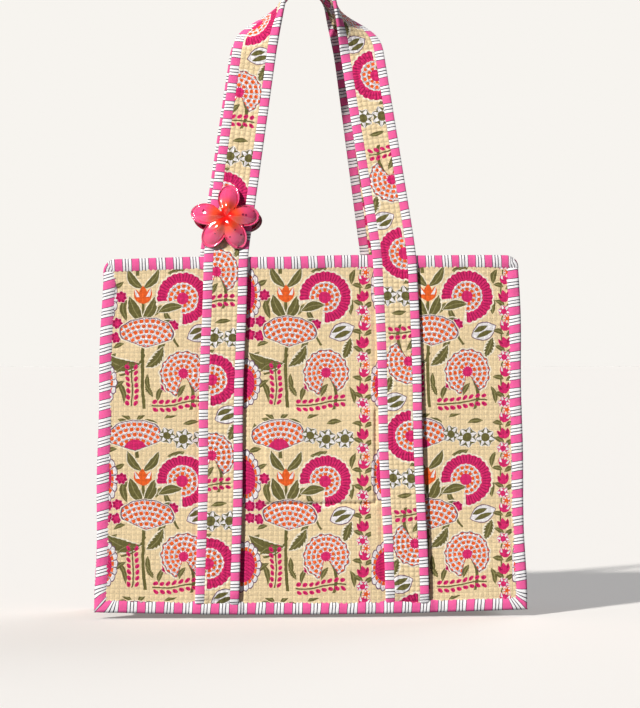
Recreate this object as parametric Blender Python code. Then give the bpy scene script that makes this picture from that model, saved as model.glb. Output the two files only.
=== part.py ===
"""Quilted cotton tote bag with two handles and a flower claw clip on the front handle.

Metres, +Z up. X runs along the bag's width, and -Y is the front. The origin is on the
ground under the middle of the whole object's box.
"""
import math

import bmesh
import bpy
from mathutils import Vector

# Bag body
HEIGHT = 0.381
WIDTH_BASE = 0.464
WIDTH_RIM = 0.444
DEPTH = 0.130
BINDING = 0.014
SEAM_THICKNESS = 0.008
RIM_THICKNESS = 0.006
CORNER_RADIUS = 0.013
GAP = 0.0003

# Quilted wall, from the outer face inwards
COVER = 0.0012
WADDING = 0.0024
LINING = 0.0008
LAYERS = (("cover", COVER), ("wadding", WADDING), ("lining", LINING))
WALL = COVER + WADDING + LINING + 2 * GAP

# Handle straps
STRAP_WIDTH = 0.047
STRAP_THICKNESS = 0.004
STRAP_BINDING = 0.0102
BAND_RECESS = 0.0004
RUN_GAP = 0.0005
LEFT_LEG_RIM_X = -0.0923
LEFT_LEG_BASE_X = -0.1017
RIGHT_LEG_RIM_X = 0.0884
RIGHT_LEG_BASE_X = 0.1026
HANDLE_HEIGHT = 0.300
ARCH_RADIUS = 0.027
TWIST_START = 0.215
TWIST_LENGTH = 0.078
HANDLE_LEAN = math.radians(8.0)
RIM_CLEARANCE = 0.0010
LEVEL_LENGTH = 0.040

# Inner pocket, sewn to the front panel's lining
POCKET_LEFT_X = -0.051
POCKET_RIGHT_X = 0.068
POCKET_BASE_Z = 0.118
POCKET_HEIGHT = 0.120
POCKET_DEPTH = 0.010
POCKET_WALL = 0.0015
POCKET_BINDING = 0.008

# Flower claw clip, in its own frame: X across the strap, Z along it, -Y to the front
CLIP_ALONG_STRAP = 0.0415
CLIP_ACROSS_STRAP = -0.0065
PETAL_ANGLES = (88.0, 13.0, -52.0, -117.0, 178.0)
PETAL_CENTRE = 0.0215
PETAL_HALF_LENGTH = 0.0155
PETAL_HALF_WIDTH = 0.0120
FLOWER_CORE = 0.0135
CUP_DEPTH = 0.0130
CUP_WALL = 0.0022
CUP_CURVE = 2.5
CUP_RINGS = (0.0, 0.4, 0.65, 0.85, 1.0)
JAW_CLEARANCE = 0.0028
BACK_HALF_SHIFT_X = 0.0035
BACK_HALF_SHIFT_Z = -0.0030
HINGE_X = -0.0225
PIN_RADIUS = 0.0012
PIN_HALF_LENGTH = 0.0066
PIN_HOLE_RADIUS = 0.0016
LUG_RADIUS = 0.0032
LUG_WIDTH = 0.0018
LUG_REACH = 0.0062
BACK_LUG_START = 0.0021
FRONT_LUG_START = 0.0042
SPRING_HALF_LENGTH = 0.0018
SPRING_RADIUS = 0.0027

# The clip stands further forward than the back handle stands back
BOX_SHIFT_Y = 0.0042

FRONT = -1
BACK = 1


def clear_scene():
    for old in list(bpy.data.objects):
        bpy.data.objects.remove(old, do_unlink=True)


def make_material(name, colour, roughness, metallic=0.0):
    material = bpy.data.materials.new(name)
    material.use_nodes = True
    shader = material.node_tree.nodes["Principled BSDF"]
    shader.inputs["Base Color"].default_value = (*colour, 1.0)
    shader.inputs["Roughness"].default_value = roughness
    shader.inputs["Metallic"].default_value = metallic
    return material


def make_empty(name, location, parent=None, rotation=(0.0, 0.0, 0.0)):
    empty = bpy.data.objects.new(name, None)
    bpy.context.collection.objects.link(empty)
    empty.empty_display_size = 0.02
    empty.parent = parent
    empty.location = location
    empty.rotation_euler = rotation
    return empty


def add_object(name, body, material, parent):
    """Closes up a bmesh into one named object with its faces pointing out."""
    bmesh.ops.recalc_face_normals(body, faces=body.faces)
    mesh = bpy.data.meshes.new(name)
    body.to_mesh(mesh)
    body.free()
    obj = bpy.data.objects.new(name, mesh)
    bpy.context.collection.objects.link(obj)
    obj.data.materials.append(material)
    obj.parent = parent
    return obj


def half_width(z):
    """Half of the bag's width, binding included, at height z."""
    return 0.5 * (WIDTH_BASE + (WIDTH_RIM - WIDTH_BASE) * z / HEIGHT)


def loft(name, sections, material, parent):
    """A solid through matching closed sections, each a list of points in order."""
    body = bmesh.new()
    rings = [[body.verts.new(point) for point in section] for section in sections]
    for lower, upper in zip(rings, rings[1:]):
        for i in range(len(lower)):
            j = (i + 1) % len(lower)
            body.faces.new((lower[i], lower[j], upper[j], upper[i]))
    body.faces.new(rings[0])
    body.faces.new(rings[-1])
    return add_object(name, body, material, parent)


def slanted_block(name, z_range, x_at, y_range, material, parent):
    """A block between two heights whose X limits change with height."""
    sections = []
    for z in z_range:
        x_low, x_high = x_at(z)
        corners = ((x_low, y_range[0]), (x_high, y_range[0]), (x_high, y_range[1]), (x_low, y_range[1]))
        sections.append([(x, y, z) for x, y in corners])
    return loft(name, sections, material, parent)


def facing_range(side, near, far):
    """The Y range of something between two distances inside a panel's outer face."""
    outer = side * DEPTH / 2
    return sorted((outer - side * near, outer - side * far))


def layer_depths():
    """Each quilt layer with the distances of its two faces from the wall's outer face."""
    depth = 0.0
    for layer, thickness in LAYERS:
        yield layer, depth, depth + thickness
        depth += thickness + GAP


def add_panel(name, side, materials, parent):
    z_range = (BINDING + GAP, HEIGHT - BINDING - GAP)

    def x_at(z):
        reach = half_width(z) - BINDING - GAP
        return -reach, reach

    for layer, near, far in layer_depths():
        y_range = facing_range(side, near, far)
        slanted_block(f"{name}_{layer}", z_range, x_at, y_range, materials[layer], parent)


def add_side_gusset(name, hand, materials, parent):
    y_reach = DEPTH / 2 - WALL - GAP
    z_range = (BINDING + WALL + 2 * GAP, HEIGHT - BINDING - GAP)
    for layer, near, far in layer_depths():

        def x_at(z, near=near, far=far):
            face = hand * (half_width(z) - BINDING)
            return sorted((face - hand * near, face - hand * far))

        slanted_block(f"{name}_{layer}", z_range, x_at, (-y_reach, y_reach), materials[layer], parent)


def add_base_gusset(materials, parent):
    y_reach = DEPTH / 2 - WALL - GAP

    def x_at(z):
        reach = half_width(z) - BINDING - GAP
        return -reach, reach

    for layer, near, far in layer_depths():
        z_range = (BINDING + GAP + near, BINDING + GAP + far)
        slanted_block(f"gusset_base_{layer}", z_range, x_at, (-y_reach, y_reach), materials[layer], parent)


def add_seam_bindings(name, side, material, parent):
    """The folded tape over a panel's left, bottom and right seam allowances."""
    y_range = facing_range(side, 0.0, SEAM_THICKNESS)
    upright = (BINDING + GAP, HEIGHT - BINDING - GAP)
    for place, hand in (("left", -1), ("right", 1)):

        def x_at(z, hand=hand):
            return sorted((hand * half_width(z), hand * (half_width(z) - BINDING)))

        slanted_block(f"{name}_binding_{place}", upright, x_at, y_range, material, parent)

    def base_x_at(z):
        return -half_width(z), half_width(z)

    slanted_block(f"{name}_binding_base", (0.0, BINDING), base_x_at, y_range, material, parent)


def add_long_rim_binding(name, side, material, parent):
    """A rim binding along the width, with its two top corners rounded."""
    y_range = facing_range(side, 0.0, RIM_THICKNESS)
    lower_z = HEIGHT - BINDING
    outline = [(-half_width(lower_z), lower_z), (half_width(lower_z), lower_z)]
    arc_steps = 6
    for hand, turns in ((1, range(arc_steps + 1)), (-1, range(arc_steps, -1, -1))):
        centre_x = hand * (half_width(HEIGHT) - CORNER_RADIUS)
        for step in turns:
            angle = step * math.pi / 2 / arc_steps
            x = centre_x + hand * CORNER_RADIUS * math.cos(angle)
            outline.append((x, HEIGHT - CORNER_RADIUS + CORNER_RADIUS * math.sin(angle)))
    sections = [[(x, y, z) for x, z in outline] for y in y_range]
    loft(name, sections, material, parent)


def add_side_rim_binding(name, hand, material, parent):
    y_reach = DEPTH / 2 - RIM_THICKNESS - GAP
    spare = (RIM_THICKNESS - WALL) / 2

    def x_at(z):
        face = hand * (half_width(z) - BINDING)
        return sorted((face + hand * spare, face - hand * (RIM_THICKNESS - spare)))

    slanted_block(name, (HEIGHT - BINDING, HEIGHT), x_at, (-y_reach, y_reach), material, parent)


def strap_parts():
    """Each run of a strap: its name, its width range from the middle, and its recess.

    The width is measured from the bag's middle outwards, so the inner run comes first.
    """
    edge = STRAP_WIDTH / 2
    seam = edge - STRAP_BINDING
    return (
        ("inner_binding", -edge, -seam - RUN_GAP, 0.0),
        ("band", -seam, seam, BAND_RECESS),
        ("outer_binding", seam + RUN_GAP, edge, 0.0),
    )


def add_sewn_leg(name, side, hand, rim_x, base_x, materials, parent):
    """A strap's lower stretch, which is sewn flat on the panel from the base to the rim."""
    z_range = (BINDING + GAP, HEIGHT - GAP)
    for run, inner, outer, recess in strap_parts():

        def x_at(z, inner=inner, outer=outer):
            middle = base_x + (rim_x - base_x) * z / HEIGHT
            return sorted((middle + hand * inner, middle + hand * outer))

        y_range = facing_range(side, -GAP - recess, -GAP - STRAP_THICKNESS + recess)
        slanted_block(f"{name}_{run}", z_range, x_at, y_range, materials[run], parent)


def handle_middle_x():
    return (LEFT_LEG_RIM_X + RIGHT_LEG_RIM_X) / 2


def leg_slope():
    """The angle by which a free leg leans towards the handle's middle."""
    inner_edge = (RIGHT_LEG_RIM_X - LEFT_LEG_RIM_X) / 2 - STRAP_WIDTH / 2
    arch_z = HANDLE_HEIGHT - ARCH_RADIUS
    reach = math.hypot(inner_edge, arch_z)
    return math.atan2(inner_edge, arch_z) - math.asin(ARCH_RADIUS / reach)


def handle_stations():
    """Stations up the left half of a handle's inner edge, from the rim to just before the top.

    Each is (x from the middle, z, direction angle from +Z towards the middle, length so far).
    The last stretch, between the two halves, is left for a level facet at the very top.
    """
    slope = leg_slope()
    inner_edge = (RIGHT_LEG_RIM_X - LEFT_LEG_RIM_X) / 2 - STRAP_WIDTH / 2
    arch_z = HANDLE_HEIGHT - ARCH_RADIUS
    leg_length = (arch_z + ARCH_RADIUS * math.sin(slope)) / math.cos(slope)
    straight_steps = 6
    twist_steps = 14
    arch_steps = 9
    lengths = [
        RIM_CLEARANCE + (TWIST_START - RIM_CLEARANCE) * i / straight_steps for i in range(straight_steps)
    ]
    lengths += [TWIST_START + (leg_length - TWIST_START) * i / twist_steps for i in range(twist_steps)]
    stations = [(-inner_edge + s * math.sin(slope), s * math.cos(slope), slope, s) for s in lengths]
    turn = (math.pi / 2 - slope) / (arch_steps + 0.5)
    for i in range(arch_steps + 1):
        angle = slope + turn * i
        x = -ARCH_RADIUS * math.cos(angle)
        z = arch_z + ARCH_RADIUS * math.sin(angle)
        stations.append((x, z, angle, leg_length + ARCH_RADIUS * (angle - slope)))
    return stations


def smooth_step(value):
    value = min(max(value, 0.0), 1.0)
    return value * value * (3.0 - 2.0 * value)


def handle_frames():
    """Middle point, width axis and outward axis at each station round the whole handle.

    The front handle's frames; the strap turns from lying in the loop's plane at the rim to
    lying across it on top. The first section is cut level with the rim.
    """
    left_half = []
    for x, z, angle, length in handle_stations():
        twist = math.pi / 2 * smooth_step((length - TWIST_START) / TWIST_LENGTH)
        level = 1.0 - smooth_step(length / LEVEL_LENGTH)
        in_plane_angle = angle * (1.0 - level)
        outward = Vector((-math.cos(in_plane_angle), 0.0, math.sin(in_plane_angle)))
        across = outward * math.cos(twist) + Vector((0.0, math.sin(twist), 0.0))
        facing = outward * math.sin(twist) + Vector((0.0, -math.cos(twist), 0.0))
        middle = Vector((x, 0.0, z)) + outward * (math.cos(twist) * STRAP_WIDTH / 2)
        left_half.append((middle, across, facing))
    right_half = []
    for middle, across, facing in reversed(left_half):
        right_half.append(tuple(Vector((-v.x, v.y, v.z)) for v in (middle, across, facing)))
    return left_half + right_half


def add_handle(name, side, materials, parent):
    """A handle's free loop, in a frame whose origin is on the strap's outer face at the rim."""
    frames = handle_frames()
    for run, inner, outer, recess in strap_parts():
        sections = []
        for middle, across, facing in frames:
            section = []
            under = STRAP_THICKNESS - recess
            for width, inward in ((inner, recess), (outer, recess), (outer, under), (inner, under)):
                point = middle + across * width - facing * (inward - STRAP_THICKNESS / 2)
                y = -side * point.y - side * STRAP_THICKNESS / 2
                section.append((point.x, y, point.z))
            sections.append(section)
        loft(f"{name}_{run}", sections, materials[run], parent)


def add_pocket(materials, parent):
    """A slip pocket: an inner wall held off the lining by narrow sides and a base."""
    lining_y = -DEPTH / 2 + WALL + GAP
    top_z = POCKET_BASE_Z + POCKET_HEIGHT
    y_range = (lining_y, lining_y + POCKET_DEPTH)
    pocket = slanted_block(
        "inner_pocket", (POCKET_BASE_Z, top_z), lambda z: (POCKET_LEFT_X, POCKET_RIGHT_X), y_range,
        materials["lining"], parent,
    )
    cutter = slanted_block(
        "pocket_space", (POCKET_BASE_Z + POCKET_WALL, top_z + POCKET_WALL),
        lambda z: (POCKET_LEFT_X + POCKET_WALL, POCKET_RIGHT_X - POCKET_WALL),
        (lining_y - POCKET_WALL, lining_y + POCKET_DEPTH - POCKET_WALL), materials["lining"], parent,
    )
    apply_boolean(pocket, cutter, "DIFFERENCE")
    slanted_block(
        "inner_pocket_binding", (top_z + GAP, top_z + GAP + POCKET_BINDING),
        lambda z: (POCKET_LEFT_X, POCKET_RIGHT_X),
        (lining_y + POCKET_DEPTH - 2 * POCKET_WALL, lining_y + POCKET_DEPTH), materials["binding"], parent,
    )


def apply_boolean(target, tool, operation):
    """Adds an exact Boolean and keeps its tool out of the model."""
    tool.hide_render = True
    tool.display_type = "WIRE"
    modifier = target.modifiers.new(tool.name, "BOOLEAN")
    modifier.operation = operation
    modifier.solver = "EXACT"
    modifier.object = tool


def petal_reach(angle):
    """The flower outline's radius at an angle: the furthest of its petals' ellipses."""
    reach = FLOWER_CORE
    for petal in PETAL_ANGLES:
        off = angle - math.radians(petal)
        if math.cos(off) <= 0.0:
            continue
        a = (math.cos(off) / PETAL_HALF_LENGTH) ** 2 + (math.sin(off) / PETAL_HALF_WIDTH) ** 2
        b = -2.0 * math.cos(off) * PETAL_CENTRE / PETAL_HALF_LENGTH ** 2
        c = (PETAL_CENTRE / PETAL_HALF_LENGTH) ** 2 - 1.0
        inside = b * b - 4.0 * a * c
        if inside > 0.0:
            reach = max(reach, (-b + math.sqrt(inside)) / (2.0 * a))
    return reach


def flower_shell(name, side, shift_x, shift_z, material, parent):
    """A five-petalled cup whose open side faces the strap."""
    around = 60
    body = bmesh.new()
    rows = []
    for shrink, depth in ((0.0, CUP_DEPTH), (CUP_WALL, CUP_DEPTH - CUP_WALL)):
        for part in CUP_RINGS:
            y = side * (JAW_CLEARANCE + depth * (1.0 - part ** CUP_CURVE))
            if part == 0.0:
                rows.append([body.verts.new((shift_x, y, shift_z))])
                continue
            row = []
            for i in range(around):
                angle = 2.0 * math.pi * i / around
                radius = part * (petal_reach(angle) - shrink)
                point = (shift_x + radius * math.cos(angle), y, shift_z + radius * math.sin(angle))
                row.append(body.verts.new(point))
            rows.append(row)
    outer, inner = rows[:len(CUP_RINGS)], rows[len(CUP_RINGS):]
    strips = list(zip(outer, outer[1:])) + list(zip(inner, inner[1:])) + [(outer[-1], inner[-1])]
    for first, second in strips:
        for i in range(around):
            j = (i + 1) % around
            if len(first) == 1:
                body.faces.new((first[0], second[i], second[j]))
            else:
                body.faces.new((first[i], first[j], second[j], second[i]))
    return add_object(name, body, material, parent)


def add_lug(half, name, side, start, material, parent):
    """A hinge ear with a rounded end, joined to the inside of a flower half."""
    reach = JAW_CLEARANCE + LUG_REACH
    outline = [(LUG_RADIUS, side * reach)]
    steps = 10
    for i in range(steps + 1):
        angle = math.pi * i / steps
        outline.append((LUG_RADIUS * math.cos(angle), -side * LUG_RADIUS * math.sin(angle)))
    outline.append((-LUG_RADIUS, side * reach))
    z_range = sorted((start, start + math.copysign(LUG_WIDTH, start)))
    sections = [[(HINGE_X + x, y, z) for x, y in outline] for z in z_range]
    lug = loft(name, sections, material, parent)
    apply_boolean(half, lug, "UNION")


def add_rod(name, radius, half_length, material, parent, segments=16):
    """A solid rod along the hinge's axis."""
    sections = []
    for z in (-half_length, half_length):
        turns = [2.0 * math.pi * i / segments for i in range(segments)]
        sections.append([(HINGE_X + radius * math.cos(a), radius * math.sin(a), z) for a in turns])
    return loft(name, sections, material, parent)


def add_clip(materials, parent):
    halves = (
        ("clip_front_flower", FRONT, 0.0, 0.0, FRONT_LUG_START),
        ("clip_back_flower", BACK, BACK_HALF_SHIFT_X, BACK_HALF_SHIFT_Z, BACK_LUG_START),
    )
    hole = add_rod("pin_hole", PIN_HOLE_RADIUS, 2 * PIN_HALF_LENGTH, materials["clip"], parent)
    for name, side, shift_x, shift_z, lug_start in halves:
        half = flower_shell(name, side, shift_x, shift_z, materials["clip"], parent)
        add_lug(half, f"{name}_upper_lug", side, lug_start, materials["clip"], parent)
        add_lug(half, f"{name}_lower_lug", side, -lug_start, materials["clip"], parent)
        apply_boolean(half, hole, "DIFFERENCE")
    add_rod("clip_hinge_pin", PIN_RADIUS, PIN_HALF_LENGTH, materials["metal"], parent)
    spring = add_rod("clip_spring", SPRING_RADIUS, SPRING_HALF_LENGTH, materials["metal"], parent)
    apply_boolean(spring, hole, "DIFFERENCE")


def build():
    clear_scene()
    print_cotton = make_material("print_cotton", (0.80, 0.55, 0.42), 0.85)
    stripe_cotton = make_material("stripe_cotton", (0.90, 0.40, 0.60), 0.80)
    wadding = make_material("wadding", (0.90, 0.88, 0.84), 0.95)
    lining_cotton = make_material("lining_cotton", (0.88, 0.72, 0.66), 0.85)
    clip_plastic = make_material("clip_plastic", (0.90, 0.05, 0.15), 0.15)
    clip_metal = make_material("clip_metal", (0.60, 0.60, 0.62), 0.30, 1.0)
    quilt = {"cover": print_cotton, "wadding": wadding, "lining": lining_cotton}
    strap = {"band": print_cotton, "inner_binding": stripe_cotton, "outer_binding": stripe_cotton}

    origin = make_empty("bag_origin", (0.0, BOX_SHIFT_Y, 0.0))
    for name, side in (("front", FRONT), ("back", BACK)):
        add_panel(f"{name}_panel", side, quilt, origin)
        add_seam_bindings(name, side, stripe_cotton, origin)
        add_long_rim_binding(f"rim_binding_{name}", side, stripe_cotton, origin)
        add_sewn_leg(f"{name}_left_leg", side, -1, LEFT_LEG_RIM_X, LEFT_LEG_BASE_X, strap, origin)
        add_sewn_leg(f"{name}_right_leg", side, 1, RIGHT_LEG_RIM_X, RIGHT_LEG_BASE_X, strap, origin)
    for name, hand in (("left", -1), ("right", 1)):
        add_side_gusset(f"gusset_{name}", hand, quilt, origin)
        add_side_rim_binding(f"rim_binding_{name}", hand, stripe_cotton, origin)
    add_base_gusset(quilt, origin)
    add_pocket({"lining": lining_cotton, "binding": stripe_cotton}, origin)

    outer_face = DEPTH / 2 + GAP + STRAP_THICKNESS
    axes = {}
    for name, side in (("front", FRONT), ("back", BACK)):
        location = (handle_middle_x(), side * outer_face, HEIGHT)
        axes[name] = make_empty(f"{name}_handle_axis", location, origin, (side * HANDLE_LEAN, 0.0, 0.0))
        add_handle(f"{name}_handle", side, strap, axes[name])

    slope = leg_slope()
    leg_x = LEFT_LEG_RIM_X - handle_middle_x() + CLIP_ALONG_STRAP * math.tan(slope)
    clip_x = leg_x + CLIP_ACROSS_STRAP
    clip_location = (clip_x, STRAP_THICKNESS / 2, CLIP_ALONG_STRAP)
    clip_axis = make_empty("clip_axis", clip_location, axes["front"], (0.0, slope, 0.0))
    add_clip({"clip": clip_plastic, "metal": clip_metal}, clip_axis)


build()
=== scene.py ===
"""Looks for the quilted tote bag: cloth, tape, straps, clip, studio and camera. Metres, +Z up."""
import math

import bmesh
import bpy
import numpy as np
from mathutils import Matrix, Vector


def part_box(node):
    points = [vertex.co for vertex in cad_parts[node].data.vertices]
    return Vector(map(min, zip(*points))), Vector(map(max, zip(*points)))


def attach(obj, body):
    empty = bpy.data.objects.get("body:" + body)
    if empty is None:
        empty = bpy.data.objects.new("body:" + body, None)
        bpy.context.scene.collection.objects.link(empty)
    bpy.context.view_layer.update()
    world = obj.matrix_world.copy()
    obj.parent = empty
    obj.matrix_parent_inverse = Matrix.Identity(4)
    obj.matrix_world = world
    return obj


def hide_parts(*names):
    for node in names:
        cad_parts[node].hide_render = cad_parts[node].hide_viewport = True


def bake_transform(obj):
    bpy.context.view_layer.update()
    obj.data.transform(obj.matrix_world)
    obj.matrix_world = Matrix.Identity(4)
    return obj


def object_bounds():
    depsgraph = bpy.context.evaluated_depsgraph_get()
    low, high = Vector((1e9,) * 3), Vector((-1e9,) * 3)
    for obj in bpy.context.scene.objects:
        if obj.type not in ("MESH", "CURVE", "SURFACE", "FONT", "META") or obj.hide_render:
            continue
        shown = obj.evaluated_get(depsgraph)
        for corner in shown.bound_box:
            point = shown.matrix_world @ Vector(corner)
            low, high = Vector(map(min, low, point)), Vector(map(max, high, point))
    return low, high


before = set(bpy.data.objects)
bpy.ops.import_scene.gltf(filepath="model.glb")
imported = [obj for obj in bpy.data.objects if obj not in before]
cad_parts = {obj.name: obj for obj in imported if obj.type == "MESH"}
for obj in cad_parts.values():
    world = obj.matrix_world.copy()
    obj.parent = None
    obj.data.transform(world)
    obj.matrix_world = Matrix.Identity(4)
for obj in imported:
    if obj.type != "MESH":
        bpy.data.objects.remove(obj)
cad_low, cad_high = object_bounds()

X_AXIS, Y_AXIS, Z_AXIS = np.eye(3)
HANDS = ((-1, "left"), (1, "right"))
SIDES = ((-1, "front"), (1, "back"))

# Places read from the frame
FRONT_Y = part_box("front_panel_cover")[0][1]
BACK_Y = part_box("back_panel_cover")[1][1]
MIDDLE_Y = (FRONT_Y + BACK_Y) / 2
HALF_DEPTH = (BACK_Y - FRONT_Y) / 2
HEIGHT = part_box("rim_binding_front")[1][2]
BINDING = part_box("front_binding_base")[1][2]
BASE_HALF_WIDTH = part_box("front_binding_base")[1][0]
RIM_HALF_WIDTH = BASE_HALF_WIDTH - (
    (BASE_HALF_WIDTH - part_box("rim_binding_front")[1][0]) * HEIGHT / (HEIGHT - BINDING))
POCKET_LOW, POCKET_HIGH = (np.array(corner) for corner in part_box("inner_pocket"))
STRAP_Y = {-1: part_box("front_left_leg_inner_binding")[0][1], 1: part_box("back_left_leg_inner_binding")[1][1]}

# Strap sizes, as in the CAD
STRAP_WIDTH = 0.047
STRAP_THICKNESS = 0.004
TAPE_WIDTH = 0.0104
LEFT_RIM_X, LEFT_BASE_X = -0.0923, -0.1017
RIGHT_RIM_X, RIGHT_BASE_X = 0.0884, 0.1026
LEGS = ((-1, LEFT_RIM_X, LEFT_BASE_X), (1, RIGHT_RIM_X, RIGHT_BASE_X))
PIVOT_X = (LEFT_RIM_X + RIGHT_RIM_X) / 2
HANDLE_HEIGHT = 0.300
ARCH_RADIUS = 0.027
ARCH_Z = HANDLE_HEIGHT - ARCH_RADIUS
INNER_EDGE = (RIGHT_RIM_X - LEFT_RIM_X - STRAP_WIDTH) / 2
LEG_SLOPE = math.atan2(INNER_EDGE, ARCH_Z) - math.asin(ARCH_RADIUS / math.hypot(INNER_EDGE, ARCH_Z))
TWIST_START = 0.215
TWIST_LENGTH = 0.078
HANDLE_LEAN = math.radians(8.0)

# Softness of the bag's body
RIM_TILT = 0.0028
RIM_BOW = 0.0018
BASE_BOW = 0.0042
BASE_SAG = 0.006
BULGE = 0.0018
WAVE_HEIGHT = 0.0009
GUSSET_PULL = 0.014
PUFF_HEIGHT = 0.00085
WALL = 0.0050
COVER_BACK, LINING_FACE = 0.0038, 0.0041
SIDE_COVER_BACK, SIDE_LINING_FACE = 0.0036, 0.0039
TUCK = 0.0035
GUSSET_GAP = 0.0056
MITRE_REACH = 0.022
CORNER_RADIUS = 0.013

random = np.random.default_rng(7)


# ---------------- shapes

def joined(*parts):
    """Points or UV pairs from coordinates, each an array or a single number."""
    return np.stack(np.broadcast_arrays(*parts), axis=-1)


def grid(by_row, by_column):
    return np.meshgrid(by_row, by_column, indexing="ij")


def smooth(value):
    value = np.clip(value, 0.0, 1.0)
    return value * value * (3.0 - 2.0 * value)


def unit(vectors):
    return vectors / np.linalg.norm(vectors, axis=-1, keepdims=True)


def run_length(points):
    """How far along a path each of its points lies."""
    steps = np.linalg.norm(np.diff(points, axis=0), axis=1)
    return np.concatenate(([0.0], np.cumsum(steps)))


def half_width(z):
    return BASE_HALF_WIDTH + (RIM_HALF_WIDTH - BASE_HALF_WIDTH) * z / HEIGHT


def wall_y(side, depth):
    """Y at a depth below the outer face of the front or back wall."""
    return (FRONT_Y if side < 0 else BACK_Y) - side * depth


def soften(x, y, z):
    """Where points of the stiff body lie on the soft bag's walls."""
    across = x / half_width(z)
    up = np.clip(z / HEIGHT, 0.0, 1.0)
    side = (y - MIDDLE_Y) / HALF_DEPTH
    crown = np.cos(across * math.pi / 2)
    waves = np.sin(5.1 * across + 0.8) * np.sin(4.4 * up + 0.4) + 0.6 * np.sin(9.0 * across - 5.0 * up)
    swell = BULGE * crown * np.sin(up * math.pi) ** 0.7 + WAVE_HEIGHT * waves * crown ** 0.5
    bend = 0.0012 * np.sin(15.0 * z + 2.0 + across) * across ** 2 * np.sin(up * math.pi)
    lift = (RIM_TILT * across + RIM_BOW * (1.0 - across ** 4)) * up ** 2
    lift = lift + BASE_BOW * across ** 2 * (1.0 - up) ** 2
    return joined(x + bend, y + side * swell, z + lift)


def make_mesh(name, vertices, faces, uvs, material, smooth_shading=True, quilt=None):
    """One object from numpy points, faces as index lists, and UV pairs for each point."""
    mesh = bpy.data.meshes.new(name)
    mesh.from_pydata(np.asarray(vertices, float).tolist(), [], faces)
    corner_points = np.empty(len(mesh.loops), dtype=np.int32)
    mesh.loops.foreach_get("vertex_index", corner_points)
    for layer_name, pairs in (("cloth", uvs), ("quilt", quilt)):
        if pairs is not None:
            layer = mesh.uv_layers.new(name=layer_name)
            corners = np.asarray(pairs, float)[corner_points]
            layer.data.foreach_set("uv", corners.astype(np.float32).ravel())
    mesh.materials.append(material)
    if smooth_shading:
        mesh.shade_smooth()
    mesh.update()
    obj = bpy.data.objects.new(name, mesh)
    bpy.context.collection.objects.link(obj)
    return obj


def shell(name, top, bottom, uv, material, flip, step=1, samples=4):
    """A closed sheet between two matching point grids. The bottom one keeps every step-th point."""
    if flip:
        top, bottom, uv = top[:, ::-1], bottom[:, ::-1], uv[:, ::-1]
    rows, columns = top.shape[:2]
    puff = np.stack(np.meshgrid(np.arange(columns), np.arange(rows)), axis=-1) / samples - 0.5
    index = np.arange(rows * columns).reshape(rows, columns)
    low = bottom[::step, ::step]
    low_index = rows * columns + np.arange(low.shape[0] * low.shape[1]).reshape(low.shape[:2])
    faces = joined(index[:-1, :-1], index[1:, :-1], index[1:, 1:], index[:-1, 1:]).reshape(-1, 4).tolist()
    under = joined(low_index[:-1, :-1], low_index[:-1, 1:], low_index[1:, 1:], low_index[1:, :-1])
    faces += under.reshape(-1, 4).tolist()
    edges = (
        (index[:, 0], low_index[:, 0], False), (index[:, -1], low_index[:, -1], True),
        (index[0, :], low_index[0, :], True), (index[-1, :], low_index[-1, :], False),
    )
    for dense, sparse, forwards in edges:
        for i in range(len(sparse) - 1):
            face = dense[i * step:(i + 1) * step + 1].tolist() + [int(sparse[i + 1]), int(sparse[i])]
            faces.append(face if forwards else face[::-1])
    points, uvs, quilt = (
        np.concatenate((dense.reshape(-1, dense.shape[-1]), sparse.reshape(-1, dense.shape[-1])))
        for dense, sparse in ((top, low), (uv, uv[::step, ::step]), (puff, puff[::step, ::step])))
    return make_mesh(name, points, faces, uvs, material, quilt=quilt)


def tape_section(width, thickness, points=28, groove=0.00035):
    """A soft folded tape's cross-section, with a sewn groove near one edge on both faces."""
    turn = np.linspace(0.0, 2.0 * math.pi, points, endpoint=False)
    across = np.sign(np.cos(turn)) * np.abs(np.cos(turn)) ** 0.55 * width / 2
    out = np.sign(np.sin(turn)) * np.abs(np.sin(turn)) ** 0.62 * thickness / 2
    seam = np.exp(-((across + 0.33 * width) / (0.07 * width)) ** 2)
    return across, out - np.sign(out) * groove * seam


def sweep(name, middle, across, facing, section, material, puff=0.0, shift=0.0, stretch=1.0, slant=0.0):
    """A closed section carried along a path. UV is (length along, place across) in metres."""
    section_across, section_out = section
    across, facing = (np.broadcast_to(part, middle.shape)[:, None] for part in (across, facing))
    out = section_out * (1.0 + np.broadcast_to(puff, len(middle))[:, None])
    points = middle[:, None] + across * section_across[:, None] + facing * out[..., None]
    along = run_length(middle)[:, None] * stretch + slant * section_across + shift
    index = np.arange(out.size).reshape(out.shape)
    after = np.roll(index, -1, axis=1)
    faces = joined(index[:-1], index[1:], after[1:], after[:-1]).reshape(-1, 4).tolist()
    faces += [index[0].tolist(), index[-1][::-1].tolist()]
    uv = joined(along, section_across).reshape(-1, 2)
    return make_mesh(name, points.reshape(-1, 3), faces, uv, material)


def puffs(rows, columns, samples=4):
    """Quilt puffs between crossing lines of stitches, each a little different in height."""
    i, j = grid(np.arange(rows), np.arange(columns))
    rise_i, rise_j = (np.abs(np.sin(math.pi * place / samples)) ** 0.85 for place in (i, j))
    cells = random.uniform(0.55, 1.15, (rows // samples + 1, columns // samples + 1))
    return PUFF_HEIGHT * cells[i // samples, j // samples] * rise_i * rise_j


def unevenness(count, spacing, amount):
    """Small random swellings along a run of points."""
    knots = count // spacing + 2
    return np.interp(np.arange(count), np.linspace(0, count, knots), random.uniform(-amount, amount, knots))


# ---------------- materials

def linear(colour):
    """An sRGB colour in 0 to 255 as linear RGBA."""
    share = np.array(colour) / 255.0
    parts = np.where(share <= 0.04045, share / 12.92, ((share + 0.055) / 1.055) ** 2.4)
    return (*parts.tolist(), 1.0)


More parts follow.
